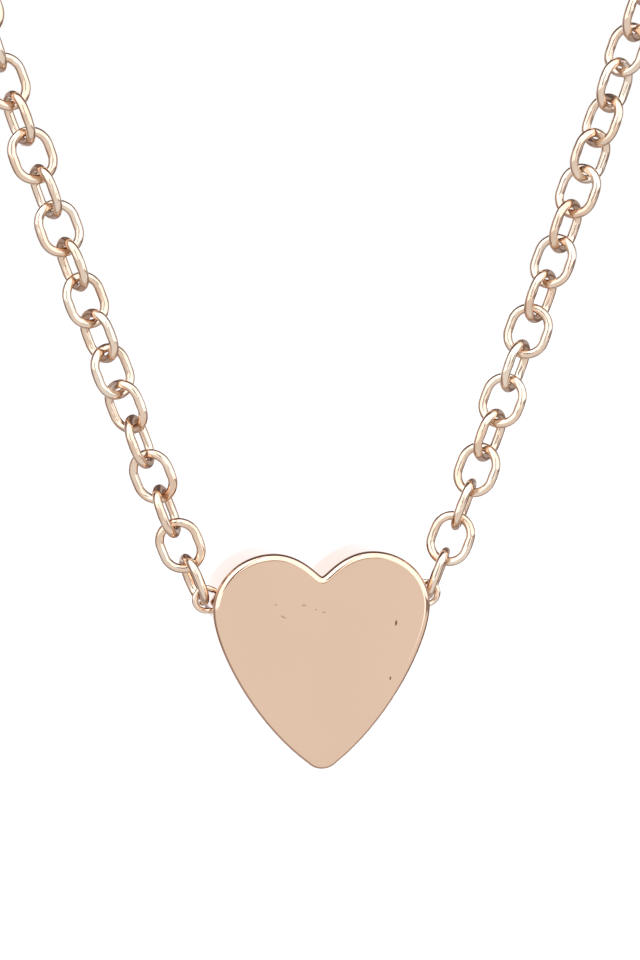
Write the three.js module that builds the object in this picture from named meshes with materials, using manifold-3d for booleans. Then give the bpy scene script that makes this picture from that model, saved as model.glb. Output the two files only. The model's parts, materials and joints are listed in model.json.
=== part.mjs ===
// Heart connector necklace: a thick polished heart hung by two side loops on an oval cable chain.
//
// Millimetres, +Z up. The necklace hangs in the XZ plane from the top of its loop, as it does over
// a neck or a display bust. The origin is the middle of the clasp, at the top of the loop.
// The front face of the heart looks along -Y.
import * as THREE from 'three';
import { mergeVertices } from 'three/addons/utils/BufferGeometryUtils.js';
import Module from 'manifold-3d';

const wasm = await Module();
wasm.setup();

// ---- Driving dimensions -------------------------------------------------------------------------

// Heart: half of its outline, measured from its lower tip
const HEART_THICK = 3.05;
const HEART_HALF_WIDTH = 4.62;
const HEART_WIDEST_UP = 6.85;
const LOBE_TOP = { x: 2.11, up: 9.22 };
const CLEFT_UP = 8.21;
const TIP_RADIUS = 0.85;
const RIM_ROUND = 0.26;

// Side loops: short bent wires soldered to the flanks of the heart
const LOOP_WIRE = 0.24;
const LOOP_MID_RADIUS = 0.48;
const LOOP_OUT = 4.77;
const LOOP_UP = 7.19;
const LOOP_FORWARD = 0.1;

// Oval cable link
const LINK_LENGTH = 2.4;
const LINK_WIDTH = 1.98;
const LINK_WIRE = 0.39;
const LINK_PLAY = 0.05;
const LINKS_PER_ARM = 17;

// Twist of each link about its arm, from the heart upwards, on top of the quarter turn per link
const LEFT_TWIST = [-19, 3, 12, 20, 17, 38, 50, 49, 57, 62, 68, 62, 70, 62, 62, 72, 60];
const RIGHT_TWIST = [9, 17, 12, 28, 33, 22, 27, 10, 35, 32, 36, 35, 54, 50, 45, 41, 37];
const TWIST_START = 9;

// Route of the chain: an arm that stands as a loaded chain does, then an arc over the neck
const ARM_START_OUT = 4.87;
const ARM_START_SLOPE = 2.54;
const ARM_STIFFENING = 0.0156;
const ARM_LENGTH = 130;
const CHAIN_WIDTH = 1.98;
const SWING_GAP = 0.6;

// Lobster clasp
const CLASP_THICK = 1.3;
const LEVER_THICK = 0.5;
const LEVER_SLOT = 0.6;
const PIVOT = { x: -1.5, z: 0.75 };
const PIN_RADIUS = 0.3;
const RING_WIRE = 0.5;
const BACK_RING = { x: -5.1, radius: 1.25 };
const END_RING = { x: 5.05, radius: 1.85 };
const RING_TO_CHAIN = 0.15;

// ---- Derived dimensions -------------------------------------------------------------------------

const LINK_PITCH = LINK_LENGTH - 2 * LINK_WIRE - LINK_PLAY;
const LINK_MID_RADIUS = (LINK_WIDTH - LINK_WIRE) / 2;
const FIRST_LINK = (LINK_LENGTH - LINK_WIRE) / 2;

const slopeEnd = ARM_START_SLOPE + ARM_STIFFENING * ARM_LENGTH;
const leanEnd = Math.atan(1 / slopeEnd);
const armRise = (Math.hypot(1, slopeEnd) - Math.hypot(1, ARM_START_SLOPE)) / ARM_STIFFENING;
const armSpread = (Math.asinh(slopeEnd) - Math.asinh(ARM_START_SLOPE)) / ARM_STIFFENING;
const ARC_RADIUS = (ARM_START_OUT + armSpread) / Math.cos(leanEnd);
const ARM_START_Z = -ARC_RADIUS * (1 + Math.sin(leanEnd)) - armRise;

// The lowest wire of the first link lies a little below and outside the loop's centre
const LOOP_Z = ARM_START_Z + 0.1;
const HEART_TIP_Z = LOOP_Z - LOOP_UP;

// ---- Materials ----------------------------------------------------------------------------------

const polished = (colour, roughness) =>
  new THREE.MeshStandardMaterial({ color: colour, roughness, metalness: 1 });

// ---- Route of the chain -------------------------------------------------------------------------

// The point and the direction a distance along one side of the chain, from the heart to the clasp.
// side is -1 for the left of the wearer's view and +1 for the right.
function route(distance, side) {
  if (distance <= ARM_LENGTH) {
    const slope = ARM_START_SLOPE + ARM_STIFFENING * distance;
    const spread = (Math.asinh(slope) - Math.asinh(ARM_START_SLOPE)) / ARM_STIFFENING;
    const rise = (Math.hypot(1, slope) - Math.hypot(1, ARM_START_SLOPE)) / ARM_STIFFENING;
    const length = Math.hypot(1, slope);
    return {
      point: new THREE.Vector3(side * (ARM_START_OUT + spread), 0, ARM_START_Z + rise),
      along: new THREE.Vector3(side / length, 0, slope / length),
    };
  }
  const turn = (distance - ARM_LENGTH) / ARC_RADIUS - leanEnd;
  const x = ARC_RADIUS * Math.cos(turn);
  const z = ARC_RADIUS * (Math.sin(turn) - 1);
  return {
    point: new THREE.Vector3(side * x, 0, z),
    along: new THREE.Vector3(-side * Math.sin(turn), 0, Math.cos(turn)),
  };
}

class ChainRun extends THREE.Curve {
  constructor(from, to, side) {
    super();
    this.from = from;
    this.to = to;
    this.side = side;
  }

  getPoint(t, target = new THREE.Vector3()) {
    return target.copy(route(THREE.MathUtils.lerp(this.from, this.to, t), this.side).point);
  }
}

// ---- Shape helpers ------------------------------------------------------------------------------

function named(name, geometry, material) {
  const mesh = new THREE.Mesh(geometry, material);
  mesh.name = name;
  return mesh;
}

function disc(radius, sides) {
  const shape = new THREE.Shape();
  for (let i = 0; i < sides; i += 1) {
    const turn = (2 * Math.PI * i) / sides;
    const x = radius * Math.cos(turn);
    const y = radius * Math.sin(turn);
    if (i === 0) shape.moveTo(x, y);
    else shape.lineTo(x, y);
  }
  shape.closePath();
  return shape;
}

function tube(curve, radius, sides, steps) {
  return new THREE.ExtrudeGeometry(disc(radius, sides), { steps, extrudePath: curve });
}

// The corners of a closed outline, without the doubled ones where its curves meet
function corners(points) {
  return points.filter((point, i) => point.distanceTo(points.at(i - 1)) > 1e-3);
}

// A flat outline in X and Z, made into a plate of the given thickness about a Y plane
function plate(outline, thickness) {
  const { shape: outer, holes } = outline.extractPoints(6);
  const shape = new THREE.Shape(corners(outer));
  shape.holes = holes.map((hole) => new THREE.Path(corners(hole)));
  const geometry = new THREE.ExtrudeGeometry(shape, { depth: thickness, bevelEnabled: false });
  geometry.translate(0, 0, -thickness / 2);
  geometry.rotateX(Math.PI / 2);
  return geometry;
}

function solid(geometry) {
  const bare = geometry.clone();
  bare.deleteAttribute('normal');
  bare.deleteAttribute('uv');
  const merged = mergeVertices(bare);
  return new wasm.Manifold(new wasm.Mesh({
    numProp: 3,
    vertProperties: new Float32Array(merged.attributes.position.array),
    triVerts: new Uint32Array(merged.index.array),
  }));
}

function fromSolid(manifold) {
  const mesh = manifold.getMesh();
  const geometry = new THREE.BufferGeometry();
  geometry.setAttribute('position', new THREE.BufferAttribute(mesh.vertProperties, 3));
  geometry.setIndex(new THREE.BufferAttribute(mesh.triVerts, 1));
  geometry.computeVertexNormals();
  return geometry;
}

// ---- Heart --------------------------------------------------------------------------------------

// The heart's outline, from the cleft down its left side to the tip and back up
function heartOutline() {
  const shape = new THREE.Shape();
  const turn = Math.PI / 4;
  const flank = {
    x: TIP_RADIUS * Math.sin(turn),
    y: TIP_RADIUS * (1 - Math.cos(turn)),
  };
  const round = 0.552;
  const lobeHeight = LOBE_TOP.up - HEART_WIDEST_UP;
  const lobeWidth = HEART_HALF_WIDTH - LOBE_TOP.x;
  shape.moveTo(0, CLEFT_UP);
  shape.bezierCurveTo(-0.15, CLEFT_UP, -0.86, LOBE_TOP.up, -LOBE_TOP.x, LOBE_TOP.up);
  shape.bezierCurveTo(
    -LOBE_TOP.x - round * lobeWidth, LOBE_TOP.up,
    -HEART_HALF_WIDTH, HEART_WIDEST_UP + round * lobeHeight,
    -HEART_HALF_WIDTH, HEART_WIDEST_UP,
  );
  shape.bezierCurveTo(
    -HEART_HALF_WIDTH, HEART_WIDEST_UP - 1.5,
    -flank.x - 2.35, flank.y + 1.8,
    -flank.x, flank.y,
  );
  shape.absarc(0, TIP_RADIUS, TIP_RADIUS, -Math.PI / 2 - turn, -Math.PI / 2 + turn, false);
  shape.bezierCurveTo(
    flank.x + 2.35, flank.y + 1.8,
    HEART_HALF_WIDTH, HEART_WIDEST_UP - 1.5,
    HEART_HALF_WIDTH, HEART_WIDEST_UP,
  );
  shape.bezierCurveTo(
    HEART_HALF_WIDTH, HEART_WIDEST_UP + round * lobeHeight,
    LOBE_TOP.x + round * lobeWidth, LOBE_TOP.up,
    LOBE_TOP.x, LOBE_TOP.up,
  );
  shape.bezierCurveTo(0.86, LOBE_TOP.up, 0.15, CLEFT_UP, 0, CLEFT_UP);
  return shape;
}

function heart() {
  const geometry = new THREE.ExtrudeGeometry(heartOutline(), {
    depth: HEART_THICK - 2 * RIM_ROUND,
    bevelThickness: RIM_ROUND,
    bevelSize: RIM_ROUND,
    bevelOffset: -RIM_ROUND,
    bevelSegments: 2,
    curveSegments: 9,
  });
  geometry.translate(0, 0, RIM_ROUND - HEART_THICK / 2);
  geometry.rotateX(Math.PI / 2);
  const mesh = named('heart_plate', geometry, polished('#debea7', 0.12));
  mesh.position.z = HEART_TIP_Z;
  return mesh;
}

// A bent wire whose two ends stand on the flank of the heart
class LoopBend extends THREE.Curve {
  constructor(side) {
    super();
    this.side = side;
  }

  getPoint(t, target = new THREE.Vector3()) {
    const turn = THREE.MathUtils.degToRad(THREE.MathUtils.lerp(-113, 129, t));
    const x = LOOP_OUT + LOOP_MID_RADIUS * Math.cos(turn);
    const z = LOOP_Z + LOOP_MID_RADIUS * Math.sin(turn);
    return target.set(this.side * x, -LOOP_FORWARD, z);
  }
}

function heartLoop(name, side) {
  const geometry = tube(new LoopBend(side), LOOP_WIRE / 2, 6, 12);
  return named(name, geometry, polished('#dcb89c', 0.18));
}

// ---- Chain --------------------------------------------------------------------------------------

// An oval ring in the XY plane, long in Y: a round ring whose two halves are moved apart
function ovalLink() {
  const geometry = new THREE.TorusGeometry(LINK_MID_RADIUS, LINK_WIRE / 2, 6, 12);
  const position = geometry.attributes.position;
  const shift = (LINK_LENGTH - LINK_WIDTH) / 2;
  for (let i = 0; i < position.count; i += 1) {
    const y = position.getY(i);
    if (Math.abs(y) > 1e-6) position.setY(i, y + Math.sign(y) * shift);
  }
  return geometry;
}

// The turn of a link about its arm: every other link stands a quarter turn on
function linkTurn(number, side) {
  const twist = (side < 0 ? LEFT_TWIST : RIGHT_TWIST)[number - 1];
  const quarter = number % 2 === 1 ? 90 : 0;
  return THREE.MathUtils.degToRad(quarter - twist - TWIST_START);
}

function linkPlace(number) {
  return FIRST_LINK + (number - 1) * LINK_PITCH;
}

function chainLink(name, number, side) {
  const { point, along } = route(linkPlace(number), side);
  const across = new THREE.Vector3(0, 1, 0).cross(along);
  across.applyAxisAngle(along, linkTurn(number, side));
  const facing = across.clone().cross(along);
  const mesh = named(name, ovalLink(), polished('#e3c4ac', 0.16));
  mesh.quaternion.setFromRotationMatrix(new THREE.Matrix4().makeBasis(across, along, facing));
  mesh.position.copy(point);
  return mesh;
}

// The rest of the chain, as the space that its links turn in
function chainStretch(name, from, to, side, steps) {
  const geometry = tube(new ChainRun(from, to, side), CHAIN_WIDTH / 2, 8, steps);
  return named(name, geometry, polished('#e3c4ac', 0.3));
}

// ---- Clasp --------------------------------------------------------------------------------------

// The claw, with the eye for its ring at the left and the hook's nose at the right
function claspBody() {
  const claw = new THREE.Shape();
  claw.moveTo(-3.4, 0.866);
  claw.quadraticCurveTo(-2.6, 1.75, PIVOT.x, 1.75);
  claw.absarc(PIVOT.x, PIVOT.z, 1.0, Math.PI / 2, 0, true);
  claw.lineTo(-0.35, 0.3);
  claw.quadraticCurveTo(-0.35, -1.15, 1.2, -1.15);
  claw.bezierCurveTo(2.6, -1.15, 3.5, -0.8, 3.5, 0.1);
  claw.quadraticCurveTo(3.5, 1.1, 2.4, 1.55);
  claw.lineTo(2.5, 2.05);
  claw.quadraticCurveTo(4.4, 1.7, 4.4, 0.1);
  claw.bezierCurveTo(4.4, -1.5, 2.6, -2.1, 0.8, -2.1);
  claw.quadraticCurveTo(-2.0, -2.1, -3.4, -0.866);
  claw.absarc(-3.9, 0, 1.0, -Math.PI / 3, Math.PI / 3, true);
  const eye = new THREE.Path();
  eye.absarc(-3.9, 0, 0.55, 0, 2 * Math.PI, false);
  claw.holes.push(eye);

  const slot = new THREE.BoxGeometry(2.55, LEVER_SLOT, 3.45);
  slot.translate(-1.175, 0, 1.275);
  const pocket = new THREE.BoxGeometry(0.62, LEVER_SLOT, 0.8);
  pocket.translate(-0.78, 0, -0.7);
  const hole = new THREE.CylinderGeometry(PIN_RADIUS + 0.02, PIN_RADIUS + 0.02, 2, 12);
  hole.translate(PIVOT.x, 0, PIVOT.z);
  return fromSolid(solid(plate(claw, CLASP_THICK))
    .subtract(solid(slot))
    .subtract(solid(pocket))
    .subtract(solid(hole)));
}

// The lever that shuts the claw: a round head on the pin, a thumb tab and an arm to the hook's tip
function claspLever() {
  const lever = new THREE.Shape();
  lever.moveTo(PIVOT.x + 0.2, 1.45);
  lever.lineTo(-0.85, 1.5);
  lever.quadraticCurveTo(-0.85, 2.6, -0.45, 2.75);
  lever.quadraticCurveTo(-0.05, 2.75, 0.05, 1.55);
  lever.lineTo(2.5, 1.4);
  lever.quadraticCurveTo(2.85, 1.1, 2.4, 0.85);
  lever.lineTo(-0.6, 0.15);
  lever.lineTo(-1.3, 0.06);
  lever.absarc(PIVOT.x, PIVOT.z, 0.72, -Math.PI / 2, Math.PI / 2, true);
  const hole = new THREE.Path();
  hole.absarc(PIVOT.x, PIVOT.z, PIN_RADIUS + 0.04, 0, 2 * Math.PI, false);
  lever.holes.push(hole);
  return plate(lever, LEVER_THICK);
}

// The small spring that pushes the lever shut, standing in its pocket
class SpringCoil extends THREE.Curve {
  getPoint(t, target = new THREE.Vector3()) {
    const turn = 2 * Math.PI * 3.5 * t;
    return target.set(-0.78 + 0.19 * Math.cos(turn), 0.19 * Math.sin(turn), -1.0 + 0.98 * t);
  }
}

function ring(name, place) {
  const geometry = new THREE.TorusGeometry(place.radius, RING_WIRE / 2, 6, 16);
  const mesh = named(name, geometry, polished('#e3c4ac', 0.16));
  mesh.position.x = place.x;
  return mesh;
}

function clasp() {
  const group = new THREE.Group();
  const pin = new THREE.CylinderGeometry(PIN_RADIUS, PIN_RADIUS, CLASP_THICK, 12);
  pin.translate(PIVOT.x, 0, PIVOT.z);
  group.add(
    named('clasp_body', claspBody(), polished('#e0bea4', 0.2)),
    named('clasp_lever', claspLever(), polished('#e0bea4', 0.2)),
    named('clasp_pin', pin, polished('#d9b699', 0.25)),
    named('clasp_spring', tube(new SpringCoil(), 0.05, 6, 42), polished('#b9b4ac', 0.3)),
    ring('clasp_ring', BACK_RING),
    ring('end_ring', END_RING),
  );
  return group;
}

// ---- Assembly -----------------------------------------------------------------------------------

// How far along the chain a side reaches before it meets its ring
function chainEnd(ringEdge) {
  const turn = Math.acos((ringEdge + RING_TO_CHAIN) / ARC_RADIUS);
  return ARM_LENGTH + ARC_RADIUS * (turn + leanEnd);
}

const necklace = new THREE.Group();
necklace.add(heart(), clasp());

const ringWall = RING_WIRE / 2;
const sides = [
  { name: 'left', side: -1, ringEdge: -BACK_RING.x + BACK_RING.radius + ringWall },
  { name: 'right', side: 1, ringEdge: END_RING.x + END_RING.radius + ringWall },
];
for (const { name, side, ringEdge } of sides) {
  necklace.add(heartLoop(`heart_loop_${name}`, side));
  for (let number = 1; number <= LINKS_PER_ARM; number += 1) {
    const label = String(number).padStart(2, '0');
    necklace.add(chainLink(`${name}_link_${label}`, number, side));
  }
  const hangStart = linkPlace(LINKS_PER_ARM) + LINK_LENGTH / 2 + 0.06;
  const hangEnd = ARM_LENGTH - SWING_GAP / 2;
  const arcStart = ARM_LENGTH + SWING_GAP / 2;
  necklace.add(
    chainStretch(`${name}_chain_hanging`, hangStart, hangEnd, side, 18),
    chainStretch(`${name}_chain_over_neck`, arcStart, chainEnd(ringEdge), side, 20),
  );
}

export default necklace;
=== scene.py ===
"""Pendant necklace: a thick polished heart held by two side loops in an oval cable chain.

The heart with its two soldered loops, the links beside it, the chain that goes up and over the
neck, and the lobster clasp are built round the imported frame. Lengths are metres; sizes that a
maker would give in millimetres are written as such, times MM.
"""

import json
import logging
import math
from collections.abc import Callable
from dataclasses import dataclass, field
from enum import Enum

import bpy
import numpy as np
from mathutils import Matrix, Quaternion, Vector

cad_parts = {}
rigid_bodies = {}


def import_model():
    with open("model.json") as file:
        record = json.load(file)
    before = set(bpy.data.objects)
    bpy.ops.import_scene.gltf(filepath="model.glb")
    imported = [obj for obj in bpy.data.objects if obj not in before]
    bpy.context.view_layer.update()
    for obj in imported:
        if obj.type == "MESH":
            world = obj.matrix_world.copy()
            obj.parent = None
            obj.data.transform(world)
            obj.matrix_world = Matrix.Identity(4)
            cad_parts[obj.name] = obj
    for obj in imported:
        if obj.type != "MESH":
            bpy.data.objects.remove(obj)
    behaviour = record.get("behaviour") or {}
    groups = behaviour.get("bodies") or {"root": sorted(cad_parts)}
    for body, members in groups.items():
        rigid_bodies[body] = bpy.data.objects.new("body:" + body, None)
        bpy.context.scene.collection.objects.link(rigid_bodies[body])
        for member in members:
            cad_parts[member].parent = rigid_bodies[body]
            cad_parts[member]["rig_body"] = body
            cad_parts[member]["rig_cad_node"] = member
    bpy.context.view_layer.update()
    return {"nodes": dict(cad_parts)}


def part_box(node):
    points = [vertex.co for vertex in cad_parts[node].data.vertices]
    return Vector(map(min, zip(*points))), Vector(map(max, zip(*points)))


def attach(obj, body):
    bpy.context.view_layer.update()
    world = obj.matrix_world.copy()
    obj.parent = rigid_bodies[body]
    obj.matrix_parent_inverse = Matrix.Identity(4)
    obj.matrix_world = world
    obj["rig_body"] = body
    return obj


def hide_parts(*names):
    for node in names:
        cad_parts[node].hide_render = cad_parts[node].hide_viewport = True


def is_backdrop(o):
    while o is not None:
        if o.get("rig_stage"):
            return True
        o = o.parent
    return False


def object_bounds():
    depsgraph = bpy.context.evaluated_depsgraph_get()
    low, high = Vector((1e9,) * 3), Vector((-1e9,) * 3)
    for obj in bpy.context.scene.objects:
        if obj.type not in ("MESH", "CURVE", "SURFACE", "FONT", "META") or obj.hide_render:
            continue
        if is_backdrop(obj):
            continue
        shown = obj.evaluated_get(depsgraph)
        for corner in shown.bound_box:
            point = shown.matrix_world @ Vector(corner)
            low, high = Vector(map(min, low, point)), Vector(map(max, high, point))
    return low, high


MM = 0.001
LINKS_SHOWN = 17
SOLDER_FROM_WIRE_STEPS = 7
LOG = logging.getLogger("necklace")

Colour = tuple[float, float, float, float]
Light = tuple[float, float, float]


class Side(Enum):
    """A side of the necklace, as its front is seen."""

    LEFT = -1
    RIGHT = 1

    @property
    def word(self) -> str:
        """The side's name in lower case."""
        return self.name.lower()


class Part(Enum):
    """What an edit works on."""

    POINTS = "VERT"
    EDGES = "EDGE"
    FACES = "FACE"


# ---- Working in Blender -------------------------------------------------------------------------


def only(obj: bpy.types.Object) -> None:
    """Selects one object alone, in object mode.

    Args:
        obj: The object to select and make active.
    """
    if bpy.context.mode != "OBJECT":
        bpy.ops.object.mode_set(mode="OBJECT")
    bpy.ops.object.select_all(action="DESELECT")
    obj.select_set(True)
    bpy.context.view_layer.objects.active = obj


def clear_selection() -> None:
    """Deselects every object, before a primitive is added."""
    if bpy.context.mode != "OBJECT":
        bpy.ops.object.mode_set(mode="OBJECT")
    bpy.ops.object.select_all(action="DESELECT")


def pick(obj: bpy.types.Object, part: Part, test: Callable[[object], bool]) -> int:
    """Opens an object in edit mode with some of its points, edges or faces selected.

    Args:
        obj: The mesh object.
        part: Which kind of element is selected.
        test: Says of one element whether it is selected.

    Returns:
        How many elements were selected.
    """
    only(obj)
    bpy.ops.object.mode_set(mode="EDIT")
    bpy.ops.mesh.select_mode(type=part.value)
    bpy.ops.mesh.select_all(action="DESELECT")
    bpy.ops.object.mode_set(mode="OBJECT")
    mesh = obj.data
    elements = {Part.POINTS: mesh.vertices, Part.EDGES: mesh.edges, Part.FACES: mesh.polygons}[part]
    chosen = [test(element) for element in elements]
    elements.foreach_set("select", chosen)
    bpy.ops.object.mode_set(mode="EDIT")
    return sum(chosen)


def pick_all(obj: bpy.types.Object) -> None:
    """Opens an object in edit mode with all of it selected."""
    only(obj)
    bpy.ops.object.mode_set(mode="EDIT")
    bpy.ops.mesh.select_all(action="SELECT")


def close_edit() -> None:
    """Goes back to object mode."""
    bpy.ops.object.mode_set(mode="OBJECT")


def settle_place(obj: bpy.types.Object) -> None:
    """Moves an object's place into its mesh, so that the object stands at the origin."""
    only(obj)
    bpy.ops.object.transform_apply(location=True, rotation=True, scale=True)


def face_outwards(obj: bpy.types.Object, merge: float = 0.002 * MM) -> None:
    """Merges doubled points and turns every face outwards.

    Args:
        obj: The mesh object.
        merge: Points closer than this become one.
    """
    pick_all(obj)
    bpy.ops.mesh.remove_doubles(threshold=merge)
    bpy.ops.mesh.select_all(action="SELECT")
    bpy.ops.mesh.normals_make_consistent(inside=False)
    close_edit()


def smooth(obj: bpy.types.Object, angle: float = 35.0) -> None:
    """Shades an object smooth, apart from edges sharper than an angle.

    Args:
        obj: The mesh object.
        angle: The angle in degrees.
    """
    only(obj)
    bpy.ops.object.shade_smooth_by_angle(angle=math.radians(angle))


def copy_of(obj: bpy.types.Object, name: str, place: Matrix) -> bpy.types.Object:
    """Copies an object with its own mesh, and puts the copy's place in that mesh.

    Args:
        obj: The pattern, which stands at the origin.
        name: The copy's name.
        place: Where the copy goes.

    Returns:
        The copy.
    """
    copy = obj.copy()
    copy.data = obj.data.copy()
    copy.name = name
    copy.data.name = name
    copy.data.transform(place)
    bpy.context.scene.collection.objects.link(copy)
    return copy


def solid_copy(node: bpy.types.Object, name: str) -> bpy.types.Object:
    """Copies a CAD node as a piece of its own, merged into one closed mesh of flat faces.

    Args:
        node: The CAD node's object.
        name: The piece's name.

    Returns:
        The piece, free of its body.
    """
    piece = node.copy()
    piece.data = node.data.copy()
    piece.parent = None
    piece.name = name
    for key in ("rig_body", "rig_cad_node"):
        if key in piece:
            del piece[key]
    bpy.context.scene.collection.objects.link(piece)
    face_outwards(piece)
    pick_all(piece)
    bpy.ops.mesh.dissolve_limited(angle_limit=math.radians(1.5))
    close_edit()
    return piece


def hand_over(
    piece: bpy.types.Object,
    body: str,
    material: bpy.types.Material,
    replaces: tuple[str, ...] = (),
) -> None:
    """Gives a finished piece its material and its body, and hides the CAD nodes it stands for.

    Args:
        piece: The finished mesh object, at the origin.
        body: The CAD body it rides on.
        material: Its material.
        replaces: The CAD nodes it stands for.
    """
    piece.data.materials.clear()
    piece.data.materials.append(material)
    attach(piece, body)
    if replaces:
        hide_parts(*replaces)
    LOG.info("%s: %d faces, on %s", piece.name, len(piece.data.polygons), body)


# ---- Colours and nodes --------------------------------------------------------------------------


def linear(hex_colour: str) -> Colour:
    """Turns an sRGB hex colour to Blender's linear RGBA.

    Args:
        hex_colour: A colour such as "#debea7".

    Returns:
        The linear red, green, blue and alpha.
    """
    parts = [int(hex_colour[i : i + 2], 16) / 255 for i in (1, 3, 5)]
    red, green, blue = (
        part / 12.92 if part <= 0.04045 else ((part + 0.055) / 1.055) ** 2.4
        for part in parts
    )
    return red, green, blue, 1.0


def add_node(
    tree: bpy.types.NodeTree,
    kind: str,
    settings: dict[str, object] | None = None,
    sockets: dict[str | int, object] | None = None,
) -> bpy.types.Node:
    """Adds a node with its settings and links.

    Args:
        tree: The node tree it goes in.
        kind: The node's type name.
        settings: Its properties by name.
        sockets: Its inputs by name or number: a value, or another node's output to link.

    Returns:
        The node.
    """
    node = tree.nodes.new(kind)
    for name, value in (settings or {}).items():
        setattr(node, name, value)
    for key, value in (sockets or {}).items():
        if isinstance(value, bpy.types.NodeSocket):
            tree.links.new(value, node.inputs[key])
        else:
            node.inputs[key].default_value = value
    return node


def new_material(name: str) -> tuple[bpy.types.Material, bpy.types.NodeTree]:
    """Makes an empty node material.

    Args:
        name: The material's name.

    Returns:
        The material and its node tree.
    """
    material = bpy.data.materials.new(name)
    material.use_nodes = True
    material.node_tree.nodes.clear()
    return material, material.node_tree


def show_surface(tree: bpy.types.NodeTree, shader: bpy.types.Node) -> None:
    """Makes a shader the surface of its material."""
    add_node(tree, "ShaderNodeOutputMaterial", None, {"Surface": shader.outputs["BSDF"]})


def noise(
    tree: bpy.types.NodeTree, place: bpy.types.NodeSocket, size_mm: float, detail: float
) -> bpy.types.NodeSocket:
    """Adds noise whose lumps are about so many millimetres across.

    Args:
        tree: The material's tree.
        place: The place on the piece.
        size_mm: The size of the lumps.
        detail: How many finer layers it has.

    Returns:
        A value from 0 to 1.
    """
    sockets = {"Vector": place, "Scale": 1 / (size_mm * MM), "Detail": detail}
    return add_node(tree, "ShaderNodeTexNoise", None, sockets).outputs["Fac"]


def bump(
    tree: bpy.types.NodeTree,
    height: bpy.types.NodeSocket,
    depth_mm: float,
    strength: float = 1.0,
    under: bpy.types.NodeSocket | None = None,
) -> bpy.types.NodeSocket:
    """Turns a height into a normal.

    Args:
        tree: The material's tree.
        height: The height, from 0 to 1.
        depth_mm: What a height of 1 stands for.
        strength: How much of it shows.
        under: The normal that it is cut into.

    Returns:
        The normal.
    """
    sockets = {"Strength": strength, "Distance": depth_mm * MM, "Height": height}
    if under:
        sockets["Normal"] = under
    return add_node(tree, "ShaderNodeBump", None, sockets).outputs["Normal"]


@dataclass(frozen=True)
class Nick:
    """One short handling mark on a polished face, seen from the front.

    The middle is given from the heart's tip in millimetres. The turn is from level in degrees,
    rising to the right. The last value is painted shade: how dark the mark is painted, from 0 to 1,
    in place of the shadow in its pit and the dark reflection off its sides.
    """

    x: float
    up: float
    length: float
    width: float
    turn: float
    dirt: float


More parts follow.
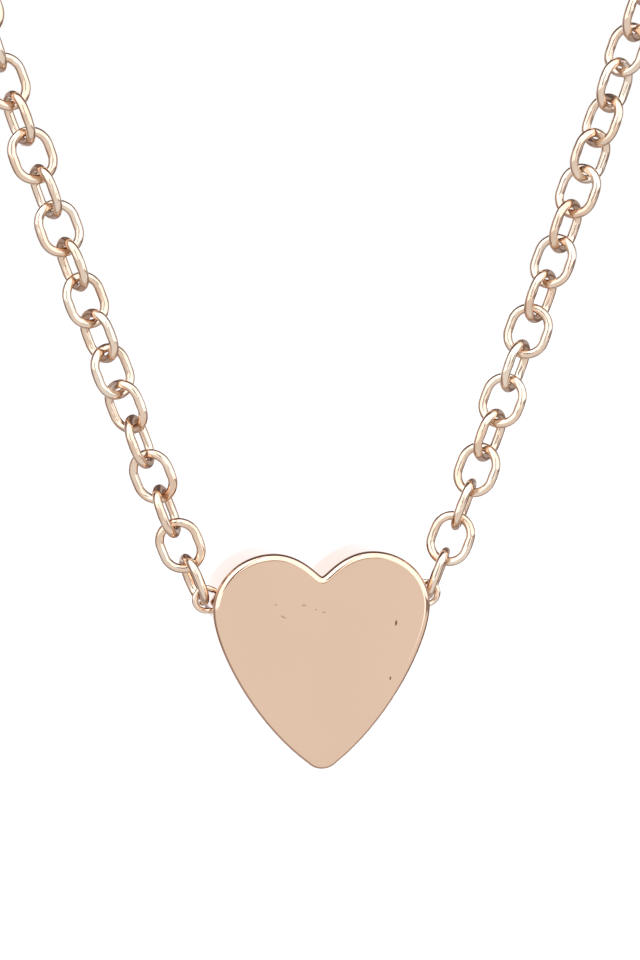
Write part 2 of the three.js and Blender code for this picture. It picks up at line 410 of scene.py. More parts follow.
@dataclass(frozen=True)
class PlatedBrass:
    """Rose gold plate over polished brass.

    The plate copies the polish beneath it, so what the eye sees is a clean mirror in pale pink
    gold, with soft waves where the wheel or the tumbler has worked and faint hairlines on top.
    """

    name: str
    colour: str
    shade: str
    gloss: float
    haze: float
    wave_mm: float
    wave_height_mm: float
    hairline_mm: float
    hairline_depth_mm: float
    nicks: tuple[Nick, ...] = ()
    # Painted shade for the nicks: a dark colour that stands for the shadow in their pits.
    nick_colour: str = "#5b3a26"
    tip_z: float = 0.0

    def material(self) -> bpy.types.Material:
        """Builds the material."""
        material, tree = new_material(self.name)
        place = add_node(tree, "ShaderNodeTexCoord").outputs["Object"]
        cloud = self._cloud(tree, place)
        colour = add_node(
            tree,
            "ShaderNodeMix",
            {"data_type": "RGBA"},
            {"Factor": cloud, "A": linear(self.colour), "B": linear(self.shade)},
        )
        # Each nick is painted darker, as painted shade in place of the shadow and dark reflection in
        # its dent.
        for nick in self.nicks:
            colour = add_node(
                tree,
                "ShaderNodeMix",
                {"data_type": "RGBA"},
                {
                    "Factor": self._mark(tree, place, nick),
                    "A": colour.outputs["Result"],
                    "B": linear(self.nick_colour),
                },
            )
        roughness = add_node(
            tree,
            "ShaderNodeMapRange",
            None,
            {"Value": cloud, "To Min": self.gloss, "To Max": self.gloss + self.haze},
        )
        shader = add_node(
            tree,
            "ShaderNodeBsdfPrincipled",
            None,
            {
                "Base Color": colour.outputs["Result"],
                "Metallic": 1.0,
                "Roughness": roughness.outputs["Result"],
                "Normal": self._relief(tree, place),
            },
        )
        show_surface(tree, shader)
        return material

    def _cloud(self, tree: bpy.types.NodeTree, place: bpy.types.NodeSocket) -> bpy.types.NodeSocket:
        """The slow drift of the polish from bright to hazy.

        Args:
            tree: The material's tree.
            place: The place on the piece.

        Returns:
            A value from 0 to 1.
        """
        noise = add_node(
            tree,
            "ShaderNodeTexNoise",
            None,
            {"Vector": place, "Scale": 1 / (3 * self.wave_mm * MM), "Detail": 3.0, "Roughness": 0.55},
        )
        spread = add_node(
            tree,
            "ShaderNodeMapRange",
            None,
            {"Value": noise.outputs["Fac"], "From Min": 0.35, "From Max": 0.65},
        )
        return spread.outputs["Result"]

    def _relief(self, tree: bpy.types.NodeTree, place: bpy.types.NodeSocket) -> bpy.types.NodeSocket:
        """The waves and hairlines, as one bumped normal.

        Args:
            tree: The material's tree.
            place: The place on the piece.

        Returns:
            The normal.
        """
        waves = noise(tree, place, self.wave_mm, 0.6)
        normal = bump(tree, waves, self.wave_height_mm)
        for turn in (25.0, -50.0):
            normal = self._hairlines(tree, place, turn, normal)
        return normal

    def _hairlines(
        self,
        tree: bpy.types.NodeTree,
        place: bpy.types.NodeSocket,
        turn: float,
        under: bpy.types.NodeSocket,
    ) -> bpy.types.NodeSocket:
        """One sheaf of parallel hairlines, from wiping in one direction.

        Args:
            tree: The material's tree.
            place: The place on the piece.
            turn: The sheaf's direction in degrees.
            under: The normal that it is cut into.

        Returns:
            The normal.
        """
        stretch = 14.0
        mapping = add_node(
            tree,
            "ShaderNodeMapping",
            None,
            {
                "Vector": place,
                "Rotation": (0.0, math.radians(turn), 0.0),
                "Scale": (1.0 / stretch, 1.0, 1.0),
            },
        )
        lines = noise(tree, mapping.outputs["Vector"], self.hairline_mm, 2.0)
        return bump(tree, lines, self.hairline_depth_mm, under=under)

    def _mark(
        self, tree: bpy.types.NodeTree, place: bpy.types.NodeSocket, nick: Nick
    ) -> bpy.types.NodeSocket:
        """One short mark's painted shade, as a boat-shaped patch with soft edges.

        Args:
            tree: The material's tree.
            place: The place on the piece.
            nick: Where it is and how big.

        Returns:
            How strongly the painted shade of the mark shows, from 0 to its full strength.
        """
        middle = Vector((nick.x * MM, 0.0, self.tip_z + nick.up * MM))
        turn = Matrix.Rotation(math.radians(nick.turn), 4, "Y")
        mapping = add_node(
            tree,
            "ShaderNodeMapping",
            None,
            {
                "Vector": place,
                "Rotation": (0.0, math.radians(nick.turn), 0.0),
                "Location": tuple(-(turn @ middle)),
            },
        )
        squeezed = add_node(
            tree,
            "ShaderNodeMapping",
            None,
            {
                "Vector": mapping.outputs["Vector"],
                "Scale": (2 / (nick.length * MM), 0.0, 2 / (nick.width * MM)),
            },
        )
        reach = add_node(
            tree,
            "ShaderNodeVectorMath",
            {"operation": "LENGTH"},
            {0: squeezed.outputs["Vector"]},
        )
        patch = add_node(
            tree,
            "ShaderNodeMapRange",
            {"interpolation_type": "SMOOTHSTEP"},
            {"Value": reach.outputs["Value"], "From Min": 1.3, "From Max": 0.5, "To Max": nick.dirt},
        )
        return patch.outputs["Result"]


@dataclass(frozen=True)
class SpringSteel:
    """Drawn stainless spring wire: grey, and dull with fine draw marks, beside the plated gold."""

    name: str = "drawn stainless spring wire"
    colour: str = "#b9b4ac"
    roughness: float = 0.24

    def material(self) -> bpy.types.Material:
        """Builds the material."""
        material, tree = new_material(self.name)
        place = add_node(tree, "ShaderNodeTexCoord").outputs["Object"]
        relief = bump(tree, noise(tree, place, 0.05, 2.0), 0.004, strength=0.4)
        shader = add_node(
            tree,
            "ShaderNodeBsdfPrincipled",
            None,
            {
                "Base Color": linear(self.colour),
                "Metallic": 1.0,
                "Roughness": self.roughness,
                "Normal": relief,
            },
        )
        show_surface(tree, shader)
        return material


# ---- The heart ----------------------------------------------------------------------------------


@dataclass
class Heart:
    """The cast heart: one thick plate with flat polished faces and a rounded rim."""

    finish: PlatedBrass
    thick: float = 3.05 * MM
    half_width: float = 4.62 * MM
    widest_up: float = 6.85 * MM
    lobe_x: float = 2.11 * MM
    lobe_up: float = 9.22 * MM
    cleft_up: float = 8.21 * MM
    tip_radius: float = 0.85 * MM
    crown: float = 0.01 * MM
    flank_rows: int = 6
    rim: float = 0.27 * MM
    rim_steps: int = 9
    curve_steps: int = 18
    borders: tuple[float, float] = (0.03 * MM, 0.25 * MM)

    def build(self) -> None:
        """Draws the outline, gives it its thickness, rounds the rim and dresses the piece."""
        low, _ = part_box("heart_plate")
        piece = self._outline(low.z)
        self._thicken(piece)
        self._round_rim(piece)
        self._flatten_faces(piece)
        face_outwards(piece, merge=0.0002 * MM)
        smooth(piece, 40.0)
        hand_over(piece, "heart", self.finish.material(), ("heart_plate",))

    def _points(self) -> list[tuple[tuple[float, float], ...]]:
        """The outline's eight points from the cleft round by the left.

        Returns:
            For each point its place, the handle before it and the handle after it, as x and up.
        """
        turn = math.pi / 4
        tip = self.tip_radius
        flank = (tip * math.sin(turn), tip * (1 - math.cos(turn)))
        arc = tip * 4 / 3 * math.tan(turn / 4)
        slant = (arc * math.cos(turn), arc * math.sin(turn))
        rise = 0.552 * (self.lobe_up - self.widest_up)
        run = 0.552 * (self.half_width - self.lobe_x)
        cleft = (0.0, self.cleft_up)
        brow = (0.15 * MM, self.cleft_up)
        lobe = (self.lobe_x, self.lobe_up)
        lobe_in = (0.86 * MM, self.lobe_up)
        lobe_out = (self.lobe_x + run, self.lobe_up)
        wide = (self.half_width, self.widest_up)
        wide_up = (self.half_width, self.widest_up + rise)
        wide_down = (self.half_width, self.widest_up - 1.5 * MM)
        hip = (flank[0] + 2.35 * MM, flank[1] + 1.8 * MM)
        foot = (flank[0] - slant[0], flank[1] - slant[1])
        right = [(lobe, lobe_in, lobe_out), (wide, wide_up, wide_down), (flank, hip, foot)]
        left = [tuple((-x, up) for x, up in point) for point in right]
        bottom = ((0.0, 0.0), (-arc, 0.0), (arc, 0.0))
        back_up = [(at, out, into) for at, into, out in reversed(right)]
        return [(cleft, brow, (-brow[0], brow[1])), *left, bottom, *back_up]

    def _outline(self, tip_z: float) -> bpy.types.Object:
        """Draws the outline as a curve in the front face's plane and makes it a wire mesh.

        Args:
            tip_z: The height of the heart's tip.

        Returns:
            The wire mesh object.
        """
        clear_selection()
        bpy.ops.curve.primitive_bezier_circle_add(radius=self.half_width)
        curve = bpy.context.object
        bpy.ops.object.mode_set(mode="EDIT")
        bpy.ops.curve.select_all(action="SELECT")
        bpy.ops.curve.subdivide(number_cuts=1)
        close_edit()
        curve.data.dimensions = "3D"
        spline = curve.data.splines[0]
        spline.resolution_u = self.curve_steps
        front = -self.thick / 2
        for point, (at, into, out) in zip(spline.bezier_points, self._points()):
            point.handle_left_type = point.handle_right_type = "FREE"
            point.co = (at[0], front, tip_z + at[1])
            point.handle_left = (into[0], front, tip_z + into[1])
            point.handle_right = (out[0], front, tip_z + out[1])
        only(curve)
        bpy.ops.object.convert(target="MESH")
        piece = bpy.context.object
        piece.name = "polished_heart"
        settle_place(piece)
        return piece

    def _thicken(self, piece: bpy.types.Object) -> None:
        """Fills the outline, draws it out to the back in rows and crowns the flank a little.

        Args:
            piece: The wire mesh object.
        """
        pick_all(piece)
        bpy.ops.mesh.remove_doubles(threshold=0.001 * MM)
        bpy.ops.mesh.select_all(action="SELECT")
        bpy.ops.mesh.edge_face_add()
        row = self.thick / self.flank_rows
        for _ in range(self.flank_rows):
            bpy.ops.mesh.extrude_region_move(TRANSFORM_OT_translate={"value": (0.0, row, 0.0)})
        bpy.ops.mesh.select_all(action="SELECT")
        bpy.ops.mesh.normals_make_consistent(inside=False)
        close_edit()
        for number in range(1, self.flank_rows):
            depth = number * row - self.thick / 2
            pick(piece, Part.POINTS, lambda v, y=depth: abs(v.co.y - y) < 0.01 * MM)
            swell = self.crown * (1 - (2 * depth / self.thick) ** 2)
            bpy.ops.transform.shrink_fatten(value=swell)
            close_edit()

    def _round_rim(self, piece: bpy.types.Object) -> None:
        """Rounds both rims.

        Args:
            piece: The plate.
        """
        limit = self.thick / 2 - 0.01 * MM

        def is_rim(edge: bpy.types.MeshEdge) -> bool:
            """Says whether an edge lies in the plane of the front or the back face."""
            ends = [piece.data.vertices[i].co.y for i in edge.vertices]
            return all(y > limit for y in ends) or all(y < -limit for y in ends)

        pick(piece, Part.EDGES, is_rim)
        bpy.ops.mesh.bevel(offset=self.rim, segments=self.rim_steps, profile=0.5, clamp_overlap=False)
        close_edit()

    def _flatten_faces(self, piece: bpy.types.Object) -> None:
        """Gives both faces a narrow border, so that each stays flat up to its rim.

        Args:
            piece: The plate with its rims rounded.
        """
        for way in (-1.0, 1.0):
            pick(
                piece,
                Part.FACES,
                lambda face, way=way: face.normal.y * way > 0.999 and len(face.vertices) > 8,
            )
            for border in self.borders:
                bpy.ops.mesh.inset(thickness=border)
            close_edit()


@dataclass
class SideLoop:
    """A short bent wire that stands on the heart's flank in two small fillets of solder.

    Each step of the flare is how far it goes into the flank in millimetres, and how much wider.
    """

    finish: PlatedBrass
    side: Side
    wire: float = 0.25 * MM
    bend: float = 0.48 * MM
    forward: float = 0.1 * MM
    from_turn: float = -115.0
    to_turn: float = 131.0
    flare: tuple[tuple[float, float], ...] = ((0.03, 1.15), (0.03, 1.3), (0.03, 1.35), (0.1, 1.0))
    steps: int = 30
    around: int = 16

    def build(self) -> None:
        """Bends the wire, flares its feet and dresses the piece."""
        low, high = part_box(f"heart_loop_{self.side.word}")
        outer = max(abs(low.x), abs(high.x))
        reach = outer - self.bend - 0.12 * MM
        middle = Vector((self.side.value * reach, -self.forward, (low.z + high.z) / 2))
        piece = self._bent_wire(middle)
        self._flare_feet(piece, middle)
        face_outwards(piece)
        smooth(piece, 50.0)
        name = f"heart_loop_{self.side.word}"
        hand_over(piece, "heart", self.finish.material(), (name,))

    def _at(self, middle: Vector, turn: float) -> Vector:
        """The wire's centre at a turn about the loop's middle.

        Args:
            middle: The loop's middle.
            turn: The turn in degrees, 0 pointing away from the heart and 90 up.

        Returns:
            The point.
        """
        angle = math.radians(turn)
        across = self.side.value * math.cos(angle)
        return middle + self.bend * Vector((across, 0.0, math.sin(angle)))

    def _bent_wire(self, middle: Vector) -> bpy.types.Object:
        """Spins the wire's round section about the loop's middle.

        Args:
            middle: The loop's middle.

        Returns:
            The open tube.
        """
        start = self._at(middle, self.from_turn)
        radial = (start - middle).normalized()
        tangent = Vector((0.0, 1.0, 0.0)).cross(radial)
        facing = tangent.to_track_quat("Z", "Y").to_euler()
        clear_selection()
        bpy.ops.mesh.primitive_circle_add(
            vertices=self.around,
            radius=self.wire / 2,
            fill_type="NOTHING",
            location=start,
            rotation=facing,
        )
        piece = bpy.context.object
        piece.name = f"soldered_loop_{self.side.word}"
        settle_place(piece)
        pick_all(piece)
        sweep = math.radians(self.to_turn - self.from_turn)
        bpy.ops.mesh.spin(
            steps=self.steps,
            angle=self.side.value * sweep,
            center=middle,
            axis=(0.0, 1.0, 0.0),
        )
        close_edit()
        return piece

    def _flare_feet(self, piece: bpy.types.Object, middle: Vector) -> None:
        """Draws each end of the wire out into the flank as a small fillet.

        Args:
            piece: The open tube.
            middle: The loop's middle.
        """
        inwards = -self.side.value
        for turn in (self.from_turn, self.to_turn):
            end = self._at(middle, turn)
            pick(
                piece,
                Part.POINTS,
                lambda v, end=end: (v.co - end).length < self.wire / 2 + 0.002 * MM,
            )
            for step, swell in self.flare:
                end = end + Vector((inwards * step * MM, 0.0, 0.0))
                bpy.ops.mesh.extrude_edges_move(
                    TRANSFORM_OT_translate={"value": (inwards * step * MM, 0.0, 0.0)}
                )
                bpy.ops.transform.resize(value=(1.0, swell, swell), center_override=end)
            bpy.ops.mesh.edge_face_add()
            close_edit()


# ---- The chain ----------------------------------------------------------------------------------


@dataclass(frozen=True)
class ChainRoute:
    """The line of one side of the chain, from the heart up and over the neck.

    Near the heart it stands as a loaded chain does, and above that it is part of a circle.
    Sizes are millimetres.
    """

    start_out: float = 4.87
    start_slope: float = 2.54
    stiffening: float = 0.0156
    arm: float = 130.0

    def _slope(self, distance: float) -> float:
        """How steeply the arm stands at a distance along it."""
        return self.start_slope + self.stiffening * distance

    def _spread(self, distance: float) -> float:
        """How far out from its start the arm is at a distance along it."""
        turned = math.asinh(self._slope(distance)) - math.asinh(self.start_slope)
        return turned / self.stiffening

    def _rise(self, distance: float) -> float:
        """How far above its start the arm is at a distance along it."""
        longer = math.hypot(1, self._slope(distance)) - math.hypot(1, self.start_slope)
        return longer / self.stiffening

    @property
    def lean(self) -> float:
        """The arm's lean from upright at its top, in radians."""
        return math.atan(1 / self._slope(self.arm))

    @property
    def radius(self) -> float:
        """The radius of the arc over the neck."""
        return (self.start_out + self._spread(self.arm)) / math.cos(self.lean)

    def place(self, distance: float, side: Side) -> tuple[Vector, Vector]:
        """The point and direction at a distance along the chain.

        Args:
            distance: Millimetres from the heart's loop.
            side: Which side of the chain.

        Returns:
            The point in metres and the direction towards the clasp.
        """
        if distance <= self.arm:
            slope = self._slope(distance)
            base = -self.radius * (1 + math.sin(self.lean)) - self._rise(self.arm)
            x = self.start_out + self._spread(distance)
            z = base + self._rise(distance)
            along = Vector((side.value, 0.0, slope)).normalized()
        else:
            turn = (distance - self.arm) / self.radius - self.lean
            x = self.radius * math.cos(turn)
            z = self.radius * (math.sin(turn) - 1)
            along = Vector((-side.value * math.sin(turn), 0.0, math.cos(turn)))
        return Vector((side.value * x, 0.0, z)) * MM, along

    def reach(self, x: float) -> float:
        """The distance along the chain at which its upper arc comes in to x.

        Args:
            x: Millimetres from the middle.

        Returns:
            Millimetres from the heart's loop.
        """
        return self.arm + self.radius * (math.acos(x / self.radius) + self.lean)


@dataclass(frozen=True)
class OvalLink:
    """One closed ring of drawn wire, pressed oval and soldered at one side. Millimetres."""

    length: float = 2.4
    width: float = 1.98
    wire: float = 0.39
    play: float = 0.05

    @property
    def pitch(self) -> float:
        """How far each link takes the chain on."""
        return self.length - 2 * self.wire - self.play

    @property
    def first(self) -> float:
        """How far along the chain the first link's middle is."""
        return (self.length - self.wire) / 2

    def pattern(self, name: str, round_steps: int, wire_steps: int) -> bpy.types.Object:
        """Models a link at the origin, long in Y and flat in Z.

        Args:
            name: The pattern's name.
            round_steps: Faces round the ring.
            wire_steps: Faces round the wire.

        Returns:
            The link's object.
        """
        ring = (self.width - self.wire) / 2 * MM
        clear_selection()
        bpy.ops.mesh.primitive_torus_add(
            major_radius=ring,
            minor_radius=self.wire / 2 * MM,
            major_segments=round_steps,
            minor_segments=wire_steps,
            generate_uvs=False,
        )
        link = bpy.context.object
        link.name = name
        shift = (self.length - self.width) / 2 * MM
        for way in (-1, 1):
            pick(link, Part.POINTS, lambda v, way=way: v.co.y * way > 0.001 * MM)
            bpy.ops.transform.translate(value=(0.0, way * shift, 0.0))
            close_edit()
        if wire_steps >= SOLDER_FROM_WIRE_STEPS:
            self._solder(link, ring)
        smooth(link, 75.0)
        return link

    def _solder(self, link: bpy.types.Object, ring: float) -> None:
        """Raises a slight collar where the wire's two ends are joined.

        Args:
            link: The link.
            ring: The middle radius of its wire.
        """
        pick(link, Part.POINTS, lambda v: abs(v.co.y) < 0.001 * MM and v.co.x > 0)
        bpy.ops.transform.resize(value=(1.07, 1.0, 1.07), center_override=(ring, 0.0, 0.0))
        close_edit()


def link_place(node: bpy.types.Object) -> Matrix:
    """Finds how a CAD link stands.

    Args:
        node: The CAD link's object.

    Returns:
        The place that takes a link at the origin, long in Y and flat in Z, onto the CAD link.
    """
    points = np.array([v.co for v in node.data.vertices], float)
    points = np.unique(np.round(points, 8), axis=0)
    centre = (points.min(0) + points.max(0)) / 2
    _, axes = np.linalg.eigh(np.cov((points - points.mean(0)).T))
    along = axes[:, 2] * np.sign(axes[2, 2])
    across = axes[:, 1] * np.sign(axes[0, 1] or 1.0)
    through = np.cross(across, along)
    place = Matrix.Identity(4)
    for column, axis in enumerate((across, along, through, centre)):
        for row in range(3):
            place[row][column] = float(axis[row])
    return place


@dataclass
class ShownLinks:
    """The seventeen links on each side next to the heart, one piece each."""

    finish: PlatedBrass
    nodes: dict[str, bpy.types.Object]
    link: OvalLink = field(default_factory=OvalLink)
    round_steps: int = 56
    wire_steps: int = 16

    def build(self) -> None:
        """Copies the link onto every CAD link."""
        material = self.finish.material()
        pattern = self.link.pattern("link_pattern", self.round_steps, self.wire_steps)
        for side in Side:
            for number in range(1, LINKS_SHOWN + 1):
                node = f"{side.word}_link_{number:02d}"
                place = link_place(self.nodes[node])
                turned = Matrix.Rotation(math.pi * ((number * 7) % 2), 4, "Y")
                piece = copy_of(pattern, f"cable_{node}", place @ turned)
                hand_over(piece, f"link_row_{number:02d}", material, (node,))
        bpy.data.objects.remove(pattern)


@dataclass
class Strands:
    """The rest of the chain on one side: the hanging stretch and the stretch over the neck."""

    finish: PlatedBrass
    side: Side
    ring_wire_x: float
    twist_from: float
    twist_to: float = 90.0
    last_link: int = 127
    ring_wire: float = 0.5
    route: ChainRoute = field(default_factory=ChainRoute)
    link: OvalLink = field(default_factory=OvalLink)
    round_steps: int = 12
    wire_steps: int = 4

    def build(self) -> None:
        """Sets link after link along the route, and joins those of one body into one piece."""
        material = self.finish.material()
        pattern = self.link.pattern("strand_pattern", self.round_steps, self.wire_steps)
        hanging, over = [], []
        for number in range(LINKS_SHOWN + 1, self.last_link + 1):
            distance = self._distance(number)
            copy = copy_of(pattern, f"strand_link_{number}", self._place(number, distance))
            (hanging if distance < self.route.arm else over).append(copy)
        bpy.data.objects.remove(pattern)
        word = self.side.word
        self._join(hanging, f"{word}_hanging_links", "chain_arms", material, f"{word}_chain_hanging")
        self._join(over, f"{word}_neck_links", "neck_loop", material, f"{word}_chain_over_neck")

    def _distance(self, number: int) -> float:
        """How far along the chain a link's middle is.

        The last link's end lies inside the clasp's ring, and the others share the way to it.

        Args:
            number: The link's number from the heart.

        Returns:
            Millimetres from the heart's loop.
        """
        link = self.link
        below = link.first + (LINKS_SHOWN - 1) * link.pitch
        hook = self.ring_wire / 2 + link.wire / 2
        end = self.route.reach(self.ring_wire_x) + hook - link.first
        share = (number - LINKS_SHOWN) / (self.last_link - LINKS_SHOWN)
        return below + share * (end - below)

    def _place(self, number: int, distance: float) -> Matrix:
        """How a link stands on the route: a quarter turn on from the one below it.

        Args:
            number: The link's number from the heart.
            distance: Millimetres from the heart's loop.

        Returns:
            The link's place.
        """
        point, along = self.route.place(distance, self.side)
        share = (number - LINKS_SHOWN) / (self.last_link - LINKS_SHOWN)
        twist = self.twist_from + share * (self.twist_to - self.twist_from)
        quarter = 90.0 * (number % 2)
        across = Vector((0.0, 1.0, 0.0)).cross(along)
        across.rotate(Quaternion(along, math.radians(quarter - twist)))
        through = across.cross(along)
        place = Matrix((across, along, through)).transposed().to_4x4()
        place.translation = point
        return place

    def _join(
        self,
        links: list[bpy.types.Object],
        name: str,
        body: str,
        material: bpy.types.Material,
        node: str,
    ) -> None:
        """Joins links into one piece and dresses it.

        Args:
            links: The links.
            name: The piece's name.
            body: The CAD body it rides on.
            material: Its material.
            node: The CAD node it stands for.
        """
        only(links[0])
        for link in links:
            link.select_set(True)
        bpy.ops.object.join()
        piece = bpy.context.object
        piece.name = name
        smooth(piece, 75.0)
        hand_over(piece, body, material, (node,))


# ---- The clasp ----------------------------------------------------------------------------------


@dataclass
class LobsterClasp:
    """The clasp: cast claw, lever, rivet, spring and the two jump rings."""

    finish: PlatedBrass
    spring_finish: SpringSteel
    nodes: dict[str, bpy.types.Object]
    ring_wire: float = 0.5 * MM
    rivet_dome: float = 0.05 * MM

    def build(self) -> None:
        """Builds every piece of the clasp."""
        material = self.finish.material()
        self._cast("clasp_body", "cast_claw", "neck_loop", 0.13 * MM, material)
        self._cast("clasp_lever", "thumb_lever", "clasp_lever", 0.09 * MM, material)
        self._rivet(material)
        self._ring("clasp_ring", "jump_ring", 150.0, material)
        self._ring("end_ring", "end_jump_ring", 60.0, material)
        spring = self.nodes["clasp_spring"]
        spring.data.materials.clear()
        spring.data.materials.append(self.spring_finish.material())
        LOG.info("clasp_spring: CAD node in spring steel")

    def _cast(self, node: str, name: str, body: str, ease: float, material: bpy.types.Material) -> None:
        """Makes a cast piece from its CAD shape, with its edges eased as tumbling leaves them.

        Args:
            node: The CAD node.
            name: The piece's name.
            body: The CAD body it rides on.
            ease: How far the edges are rounded.
            material: Its material.
        """
        piece = solid_copy(self.nodes[node], name)
        pick(piece, Part.EDGES, lambda edge: False)
        bpy.ops.mesh.edges_select_sharp(sharpness=math.radians(50))
        bpy.ops.mesh.bevel(offset=ease, segments=4, profile=0.5, clamp_overlap=True)
        close_edit()
        face_outwards(piece, merge=0.001 * MM)
        smooth(piece, 40.0)
        hand_over(piece, body, material, (node,))

    def _rivet(self, material: bpy.types.Material) -> None:
        """Makes the pin: a turned pin with both ends spread into low domes.

        Args:
            material: Its material.
        """
        low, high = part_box("clasp_pin")
        middle = (low + high) / 2
        half = (high.y - low.y) / 2
        radius = (high.x - low.x) / 2
        clear_selection()
        bpy.ops.mesh.primitive_cylinder_add(
            vertices=32,
            radius=radius,
            depth=2 * half,
            location=middle,
            rotation=(math.pi / 2, 0.0, 0.0),
        )
        piece = bpy.context.object
        piece.name = "rivet_pin"
        settle_place(piece)
        for way in (-1.0, 1.0):
            pick(piece, Part.FACES, lambda face, way=way: face.normal.y * way > 0.9)
            for step in (0.12 * MM, 0.1 * MM):
                bpy.ops.mesh.inset(thickness=step)
                bpy.ops.transform.translate(value=(0.0, way * self.rivet_dome / 2, 0.0))
            close_edit()
        face_outwards(piece)
        smooth(piece, 30.0)
        hand_over(piece, "neck_loop", material, ("clasp_pin",))

    def _ring(self, node: str, name: str, split: float, material: bpy.types.Material) -> None:
        """Winds a jump ring from round wire, with the fine split where its ends meet.

        Args:
            node: The CAD node.
            name: The piece's name.
            split: Where the split is, in degrees about the ring.
            material: Its material.
        """
        low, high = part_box(node)
        middle = (low + high) / 2
        bend = (high.y - low.y) / 2 - self.ring_wire / 2
        turn = Matrix.Rotation(math.radians(split), 4, "Z")
        clear_selection()
        bpy.ops.mesh.primitive_circle_add(
            vertices=16,
            radius=self.ring_wire / 2,
            fill_type="NOTHING",
            location=middle + turn @ Vector((bend, 0.0, 0.0)),
            rotation=(math.pi / 2, 0.0, math.radians(split)),
        )
        piece = bpy.context.object
        piece.name = name
        settle_place(piece)
        pick_all(piece)
        gap = 0.03 * MM / bend
        bpy.ops.mesh.spin(steps=48, angle=2 * math.pi - gap, center=middle, axis=(0.0, 0.0, 1.0))
        bpy.ops.mesh.select_all(action="SELECT")
        bpy.ops.mesh.fill_holes(sides=0)
        close_edit()
        face_outwards(piece, merge=0.0005 * MM)
        smooth(piece, 60.0)
        hand_over(piece, "neck_loop", material, (node,))


# ---- The studio ---------------------------------------------------------------------------------


@dataclass(frozen=True)
class Panel:
    """A soft-edged panel of the white tent round the necklace, or a gap between two.

    It is placed by its directions: azimuth from the front, positive to the right, and height
    above level, in degrees.
    """

    azimuth: tuple[float, float]
    height: tuple[float, float]
    light: Light
    soft: float = 3.0


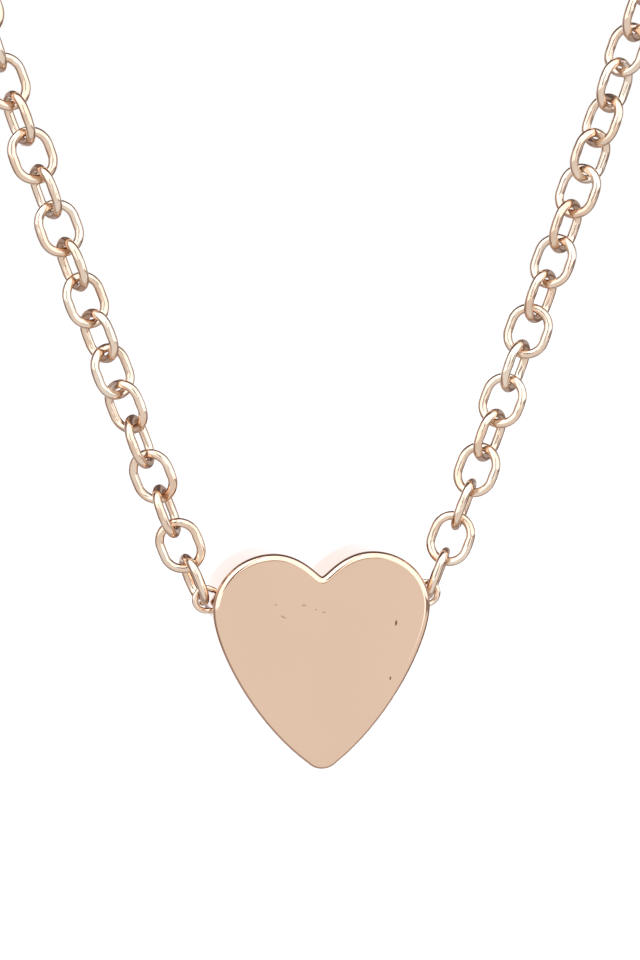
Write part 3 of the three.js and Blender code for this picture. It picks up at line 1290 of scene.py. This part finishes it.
@dataclass
class Studio:
    """A plain white tent with a pale floor, soft light and the camera.

    The tent's light is given first in rings about the line straight in front of the heart, as
    degrees from that line and light, and then by its panels. The floor stays out of the
    reflections, which see the tent alone.
    """

    floor_drop: float = 60 * MM
    floor_glow: float = 0.15
    rings: tuple[tuple[float, Light], ...] = (
        (0.0, (1.0, 1.0, 1.0)),
        (80.0, (1.0, 1.0, 1.0)),
        (92.0, (0.5, 0.44, 0.43)),
        (148.0, (0.5, 0.44, 0.43)),
        (158.0, (1.25, 1.32, 1.45)),
        (180.0, (1.25, 1.32, 1.45)),
    )
    brightest: float = 2.5
    panels: tuple[Panel, ...] = (
        Panel((-88.0, -12.0), (-7.0, 95.0), (1.9, 1.95, 2.05)),
        Panel((-14.0, 16.0), (4.0, 95.0), (2.0, 2.05, 2.15)),
        Panel((14.0, 88.0), (-5.0, 95.0), (1.9, 1.95, 2.05)),
        Panel((15.5, 34.0), (-14.0, 0.0), (1.9, 1.95, 2.05)),
        Panel((0.0, 15.0), (-4.0, 10.0), (0.6, 0.55, 0.5), 2.0),
        Panel((-25.0, -6.0), (2.0, 78.0), (0.1, 0.08, 0.08), 2.5),
        Panel((32.0, 96.0), (-15.0, -2.0), (0.36, 0.31, 0.31), 3.0),
        Panel((92.0, 150.0), (-34.0, -6.0), (0.26, 0.18, 0.15), 4.0),
        Panel((-150.0, -104.0), (-34.0, -6.0), (0.32, 0.23, 0.19), 5.0),
        Panel((-190.0, -94.0), (24.0, 95.0), (0.16, 0.12, 0.12), 5.0),
        Panel((94.0, 190.0), (24.0, 95.0), (0.16, 0.12, 0.12), 5.0),
        Panel((-190.0, -171.0), (-11.5, -5.0), (0.34, 0.25, 0.3), 1.5),
    )
    camera_azimuth: float = -10.6
    camera_height: float = 6.64
    camera_distance: float = 112.4 * MM
    camera_aim: tuple[float, float, float] = (0.141 * MM, 0.0, -170.557 * MM)
    lens: float = 100.0

    def build(self) -> None:
        """Sets up the floor, the tent, the light and the camera."""
        low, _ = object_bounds()
        self._floor(low.z - self.floor_drop)
        self._tent()
        self._softbox()
        self._camera()
        bpy.context.scene.view_settings.view_transform = "Standard"

    def _floor(self, height: float) -> None:
        """Lays the pale floor, which glows a little so that it stays white to its far edge.

        Args:
            height: The floor's height.
        """
        clear_selection()
        bpy.ops.mesh.primitive_plane_add(size=4.0, location=(0.0, 0.0, height))
        floor = bpy.context.object
        floor.name = "studio_floor"
        settle_place(floor)
        material, tree = new_material("matt white paper")
        shader = add_node(
            tree,
            "ShaderNodeBsdfPrincipled",
            None,
            {
                "Base Color": linear("#fdfdfc"),
                "Roughness": 0.9,
                "Emission Color": linear("#ffffff"),
                "Emission Strength": self.floor_glow,
            },
        )
        show_surface(tree, shader)
        floor.data.materials.append(material)
        floor.visible_glossy = False
        floor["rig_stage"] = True

    def _tent(self) -> None:
        """Makes the tent as the world: plain white to the eye, shaded in what it lights."""
        world = bpy.data.worlds.new("white tent")
        bpy.context.scene.world = world
        world.use_nodes = True
        tree = world.node_tree
        tree.nodes.clear()
        direction = add_node(tree, "ShaderNodeTexCoord").outputs["Generated"]
        split = add_node(tree, "ShaderNodeSeparateXYZ", None, {0: direction}).outputs
        light = self._ringed(tree, split)
        for panel in self.panels:
            light = self._panel(tree, split, panel, light)
        shaded = add_node(
            tree,
            "ShaderNodeBackground",
            None,
            {"Color": light, "Strength": self.brightest},
        )
        plain = add_node(
            tree,
            "ShaderNodeBackground",
            None,
            {"Color": (1.0, 1.0, 1.0, 1.0), "Strength": 1.0},
        )
        seen = add_node(tree, "ShaderNodeLightPath").outputs["Is Camera Ray"]
        mixed = add_node(
            tree,
            "ShaderNodeMixShader",
            None,
            {0: seen, 1: shaded.outputs["Background"], 2: plain.outputs["Background"]},
        )
        add_node(tree, "ShaderNodeOutputWorld", None, {"Surface": mixed.outputs["Shader"]})

    def _math(self, tree: bpy.types.NodeTree, operation: str, *values: object) -> bpy.types.NodeSocket:
        """One step of arithmetic on the tent's light.

        Args:
            tree: The world's tree.
            operation: The operation's name.
            values: Its inputs.

        Returns:
            The result.
        """
        step = add_node(tree, "ShaderNodeMath", {"operation": operation}, dict(enumerate(values)))
        return step.outputs[0]

    def _ringed(
        self, tree: bpy.types.NodeTree, split: bpy.types.bpy_prop_collection
    ) -> bpy.types.NodeSocket:
        """The tent's light by the angle from straight in front of the heart.

        Args:
            tree: The world's tree.
            split: The direction's x, y and z.

        Returns:
            The light.
        """
        front = self._math(tree, "MULTIPLY", split["Y"], -1.0)
        angle = self._math(tree, "ARCCOSINE", front)
        share = self._math(tree, "DIVIDE", angle, math.pi)
        ramp = add_node(tree, "ShaderNodeValToRGB", None, {"Fac": share})
        stops = ramp.color_ramp.elements
        while len(stops) > 1:
            stops.remove(stops[-1])
        for number, (degrees, light) in enumerate(self.rings):
            stop = stops[0] if number == 0 else stops.new(degrees / 180)
            stop.position = degrees / 180
            stop.color = self._share_of_brightest(light)
        return ramp.outputs["Color"]

    def _share_of_brightest(self, light: Light) -> Colour:
        """Gives a light as a share of the tent's brightest, for a colour socket."""
        red, green, blue = (value / self.brightest for value in light)
        return red, green, blue, 1.0

    def _panel(
        self,
        tree: bpy.types.NodeTree,
        split: bpy.types.bpy_prop_collection,
        panel: Panel,
        light: bpy.types.NodeSocket,
    ) -> bpy.types.NodeSocket:
        """Lays one panel over the tent's light.

        Args:
            tree: The world's tree.
            split: The direction's x, y and z.
            panel: The panel.
            light: The light under it.

        Returns:
            The light with the panel.
        """
        front = self._math(tree, "MULTIPLY", split["Y"], -1.0)
        azimuth = self._math(tree, "ARCTAN2", split["X"], front)
        height = self._math(tree, "ARCSINE", split["Z"])
        mask = None
        for value, (low, high) in ((azimuth, panel.azimuth), (height, panel.height)):
            for start, stop in ((low, low + panel.soft), (high, high - panel.soft)):
                edge = add_node(
                    tree,
                    "ShaderNodeMapRange",
                    {"interpolation_type": "SMOOTHSTEP"},
                    {"Value": value, "From Min": math.radians(start), "From Max": math.radians(stop)},
                ).outputs["Result"]
                mask = edge if mask is None else self._math(tree, "MULTIPLY", mask, edge)
        mixed = add_node(
            tree,
            "ShaderNodeMix",
            {"data_type": "RGBA"},
            {"Factor": mask, "A": light, "B": self._share_of_brightest(panel.light)},
        )
        return mixed.outputs["Result"]

    def _softbox(self) -> None:
        """Hangs a large soft light above and in front."""
        low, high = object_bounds()
        clear_selection()
        bpy.ops.object.light_add(type="AREA", location=(-0.25, -0.35, high.z + 0.35))
        lamp = bpy.context.object
        lamp.name = "softbox"
        lamp.data.shape = "RECTANGLE"
        lamp.data.size = 0.6
        lamp.data.size_y = 0.5
        lamp.data.energy = 1.2
        lamp.visible_camera = False
        aim = Vector((0.0, 0.0, low.z)) - lamp.location
        lamp.rotation_euler = aim.to_track_quat("-Z", "Y").to_euler()

    def _camera(self) -> None:
        """Places the camera a little to the left of the heart's front and above it."""
        azimuth = math.radians(self.camera_azimuth)
        height = math.radians(self.camera_height)
        back = Vector(
            (
                math.sin(azimuth) * math.cos(height),
                -math.cos(azimuth) * math.cos(height),
                math.sin(height),
            )
        )
        data = bpy.data.cameras.new("camera")
        data.lens = self.lens
        data.clip_start = 0.005
        data.clip_end = 10.0
        camera = bpy.data.objects.new("camera", data)
        bpy.context.scene.collection.objects.link(camera)
        camera.location = Vector(self.camera_aim) + back * self.camera_distance
        camera.rotation_mode = "QUATERNION"
        camera.rotation_quaternion = (-back).to_track_quat("-Z", "Y")
        bpy.context.scene.camera = camera


# ---- Assembly -----------------------------------------------------------------------------------


def main() -> None:
    """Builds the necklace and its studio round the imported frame."""
    logging.basicConfig(level=logging.INFO, format="%(message)s")
    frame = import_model()
    nodes = frame["nodes"]
    tip_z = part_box("heart_plate")[0].z

    # A buffed face is one even mirror, with only hairlines, a few nicks and two pits, all painted
    # darker as painted shade in place of their shadows.
    heart_plate = PlatedBrass(
        name="rose gold plate, mirror buffed",
        colour="#e3c4ac",
        shade="#e0c1a9",
        gloss=0.05,
        haze=0.03,
        wave_mm=2.4,
        wave_height_mm=0.002,
        hairline_mm=0.09,
        hairline_depth_mm=0.0006,
        nicks=(
            Nick(-2.02, 7.1, 0.13, 0.06, -35.0, 0.4),
            Nick(-1.7, 6.58, 0.3, 0.07, -28.0, 0.42),
            Nick(-0.82, 7.05, 0.2, 0.07, -5.0, 0.48),
            Nick(-0.3, 6.85, 0.09, 0.06, 0.0, 0.4),
            Nick(0.03, 6.73, 0.16, 0.06, -20.0, 0.42),
            Nick(3.11, 6.18, 0.25, 0.1, -97.0, 0.9),
            Nick(2.87, 3.83, 0.17, 0.08, -97.0, 0.85),
        ),
        tip_z=tip_z,
    )
    # Tumbling leaves drawn wire bright but lumpy, so that its highlights break into streaks.
    wire = PlatedBrass(
        name="rose gold plate, tumbled wire",
        colour="#e4d2c0",
        shade="#dcbfa7",
        gloss=0.1,
        haze=0.06,
        wave_mm=0.6,
        wave_height_mm=0.07,
        hairline_mm=0.08,
        hairline_depth_mm=0.0006,
    )
    # A tumbled casting is softer: wide hazy highlights over shallow waves.
    casting = PlatedBrass(
        name="rose gold plate, tumbled casting",
        colour="#e2c1a8",
        shade="#d8b296",
        gloss=0.1,
        haze=0.06,
        wave_mm=0.9,
        wave_height_mm=0.012,
        hairline_mm=0.1,
        hairline_depth_mm=0.0012,
    )

    Heart(heart_plate).build()
    for side in Side:
        SideLoop(wire, side).build()
    ShownLinks(wire, nodes).build()
    Strands(wire, Side.LEFT, ring_wire_x=6.35, twist_from=69.0).build()
    Strands(wire, Side.RIGHT, ring_wire_x=6.9, twist_from=46.0).build()
    LobsterClasp(casting, SpringSteel(), nodes).build()
    Studio().build()


if __name__ == "__main__":
    main()
